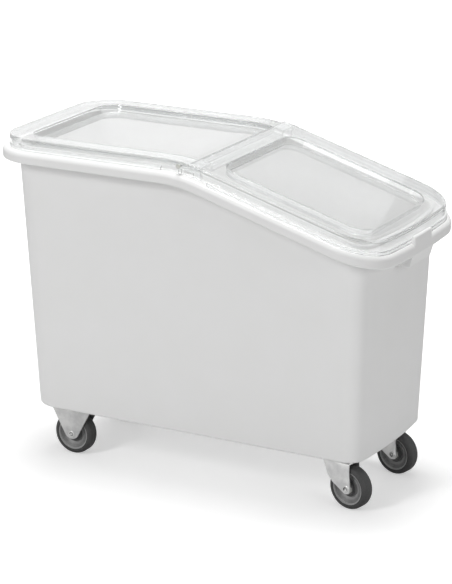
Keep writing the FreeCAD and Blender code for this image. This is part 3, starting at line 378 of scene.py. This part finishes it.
# The two rear axles are one piece on one line, so either rear wheel gives its middle.
for wheel, axle in (("rear_right", "rear_axles"), ("front_right", "front_right_axle"),
                    ("front_left", "front_left_axle")):
    riveted, tree = blank_material(wheel + "_riveted_zinc_painted_shade")
    radius = axle_distance(tree, wheel)
    gap = add(tree, "ShaderNodeMath", {
        0: (radius, "Value"), 1: SHADE_RING_RADIUS}, operation="SUBTRACT")
    gap = add(tree, "ShaderNodeMath", {0: (gap, "Value")}, operation="ABSOLUTE")
    plain = add(tree, "ShaderNodeMapRange", {
        "Value": (gap, "Value"), "From Min": SHADE_RING_HALF, "From Max": SHADE_RING_FADE})
    place = add(tree, "ShaderNodeTexCoord")
    shade_break_noise = add(tree, "ShaderNodeTexNoise", {
        "Vector": (place, "Object"), "Scale": per_metre(SHADE_BREAK_MM),
        "Detail": SHADE_BREAK_DETAIL})
    shade_broken = add(tree, "ShaderNodeMapRange", {
        "Value": (shade_break_noise, "Fac"), "From Min": SHADE_BREAK_FROM, "From Max": SHADE_BREAK_TO})
    plain = add(tree, "ShaderNodeMath", {
        0: (plain, "Result"), 1: (shade_broken, "Result")}, operation="MAXIMUM")
    # The dark ring is painted shade round the hollow in each end.
    colour = add(tree, "ShaderNodeMix", {
        "Factor": (plain, "Value"), "A": linear(PAINTED_SHADE_RING), "B": linear(SHADED_ZINC)},
        data_type="RGBA")
    metal = add(tree, "ShaderNodeBsdfPrincipled", {
        "Base Color": (colour, "Result"), "Metallic": 1.0, "Roughness": AXLE_ROUGH})
    add(tree, "ShaderNodeOutputMaterial", {"Surface": (metal, "BSDF")})
    finish_piece(axle, riveted)


# Wheel centres: moulded in grey polypropylene, with nylon bushes pressed into the hub
# from either face. The plastic is satin, with a painted highlight on its proud lip and on
# the boss's edge, and painted shade over the hub and in patches down the dish.

# Painted highlight on the proud lip and the boss's edge, painted shade in the dish and hub.
CORE_PAINTED_LIGHT_GREY = "#B0B0B0"
CORE_PAINTED_SHADE_GREY = "#5C5C5C"
CORE_ROUGH = 0.45
CORE_IOR = 1.49
BOSS_FROM = 0.0160          # radii in metres: the boss's edge, which takes a painted highlight,
BOSS_TO = 0.0170
DISH_FROM = 0.0225          # the floor of the dish,
CORE_LIP_FROM = 0.0268      # and the proud lip beside the tyre
CORE_LIP_TO = 0.0275
CORE_SHADE_PATCH_MM = 5.56
CORE_SHADE_THIN = 0.55       # share of the painted shade in the dish, from patch to patch
CORE_SHADE_THICK = 1.0       # patch to patch


def core_plastic(wheel):
    """Grey polypropylene with painted light and shade, set by its distance from the axle."""
    plastic, tree = blank_material(wheel + "_moulded_grey_polypropylene")
    radius = axle_distance(tree, wheel)
    boss = add(tree, "ShaderNodeMapRange", {
        "Value": (radius, "Value"), "From Min": BOSS_FROM, "From Max": BOSS_TO})
    dish = add(tree, "ShaderNodeMapRange", {
        "Value": (radius, "Value"), "From Min": BOSS_TO, "From Max": DISH_FROM})
    lip = add(tree, "ShaderNodeMapRange", {
        "Value": (radius, "Value"), "From Min": CORE_LIP_FROM, "From Max": CORE_LIP_TO})
    place = add(tree, "ShaderNodeTexCoord")
    cloud = add(tree, "ShaderNodeTexNoise", {
        "Vector": (place, "Object"), "Scale": per_metre(CORE_SHADE_PATCH_MM), "Detail": GRAIN_DETAIL})
    dust_and_shade = add(tree, "ShaderNodeMapRange", {
        "Value": (cloud, "Fac"), "To Min": CORE_SHADE_THIN, "To Max": CORE_SHADE_THICK})
    # The dish's painted shade, broken into patches by the noise.
    dust_and_shade_mask = add(tree, "ShaderNodeMath", {
        0: (dish, "Result"), 1: (dust_and_shade, "Result")}, operation="MULTIPLY")
    colour = add(tree, "ShaderNodeMix", {
        "Factor": (boss, "Result"), "A": linear(CORE_PAINTED_SHADE_GREY), "B": linear(CORE_PAINTED_LIGHT_GREY)},
        data_type="RGBA")
    colour = add(tree, "ShaderNodeMix", {
        "Factor": (dust_and_shade_mask, "Value"), "A": (colour, "Result"), "B": linear(CORE_PAINTED_SHADE_GREY)},
        data_type="RGBA")
    colour = add(tree, "ShaderNodeMix", {
        "Factor": (lip, "Result"), "A": (colour, "Result"), "B": linear(CORE_PAINTED_LIGHT_GREY)},
        data_type="RGBA")
    skin = add(tree, "ShaderNodeBsdfPrincipled", {
        "Base Color": (colour, "Result"), "Roughness": CORE_ROUGH, "IOR": CORE_IOR})
    add(tree, "ShaderNodeOutputMaterial", {"Surface": (skin, "BSDF")})
    return plastic


wheels = [end + "_" + side for end in ("rear", "front") for side in ("right", "left")]
for wheel in wheels:
    finish_piece(wheel + "_wheel_core", core_plastic(wheel))
    finish_piece(wheel + "_bushes", nylon)


# Tyres: dark grey rubber, moulded with well rounded shoulders and pressed on to the
# centres. The rubber is matt and unevenly dusty, with a fine grain.

TYRE_GREY = "#3C3C3C"
TYRE_DUST = "#4A4A4A"
TYRE_SMOOTH = 0.6           # roughness, from
TYRE_ROUGH = 0.78           # clean to dusty
TYRE_DUST_MM = 14.3
TYRE_DUST_DETAIL = 5.0
TYRE_GRAIN_MM = 2.2         # the real rubber's grain is finer, drawn coarser to show
TYRE_GRAIN_SHARE = 0.45     # how much of the dust lies in the grain

rubber, tree = blank_material("moulded_grey_rubber")
place = add(tree, "ShaderNodeTexCoord")
dust_and_shade = add(tree, "ShaderNodeTexNoise", {
    "Vector": (place, "Object"), "Scale": per_metre(TYRE_DUST_MM), "Detail": TYRE_DUST_DETAIL})
grain = add(tree, "ShaderNodeTexNoise", {
    "Vector": (place, "Object"), "Scale": per_metre(TYRE_GRAIN_MM), "Detail": GRAIN_DETAIL})
dust_and_shade_mask = add(tree, "ShaderNodeMix", {
    0: TYRE_GRAIN_SHARE, "A": (dust_and_shade, "Fac"), "B": (grain, "Fac")}, data_type="FLOAT")
dust_and_shade_mask = add(tree, "ShaderNodeMapRange", {
    "Value": (dust_and_shade_mask, "Result"), "From Min": CLOUD_FROM, "From Max": CLOUD_TO})
colour = add(tree, "ShaderNodeMix", {
    "Factor": (dust_and_shade_mask, "Result"), "A": linear(TYRE_GREY), "B": linear(TYRE_DUST)},
    data_type="RGBA")
rough = add(tree, "ShaderNodeMapRange", {
    "Value": (dust_and_shade, "Fac"), "To Min": TYRE_SMOOTH, "To Max": TYRE_ROUGH})
skin = add(tree, "ShaderNodeBsdfPrincipled", {
    "Base Color": (colour, "Result"), "Roughness": (rough, "Result")})
add(tree, "ShaderNodeOutputMaterial", {"Surface": (skin, "BSDF")})

for wheel in wheels:
    finish_piece(wheel + "_tyre", rubber)
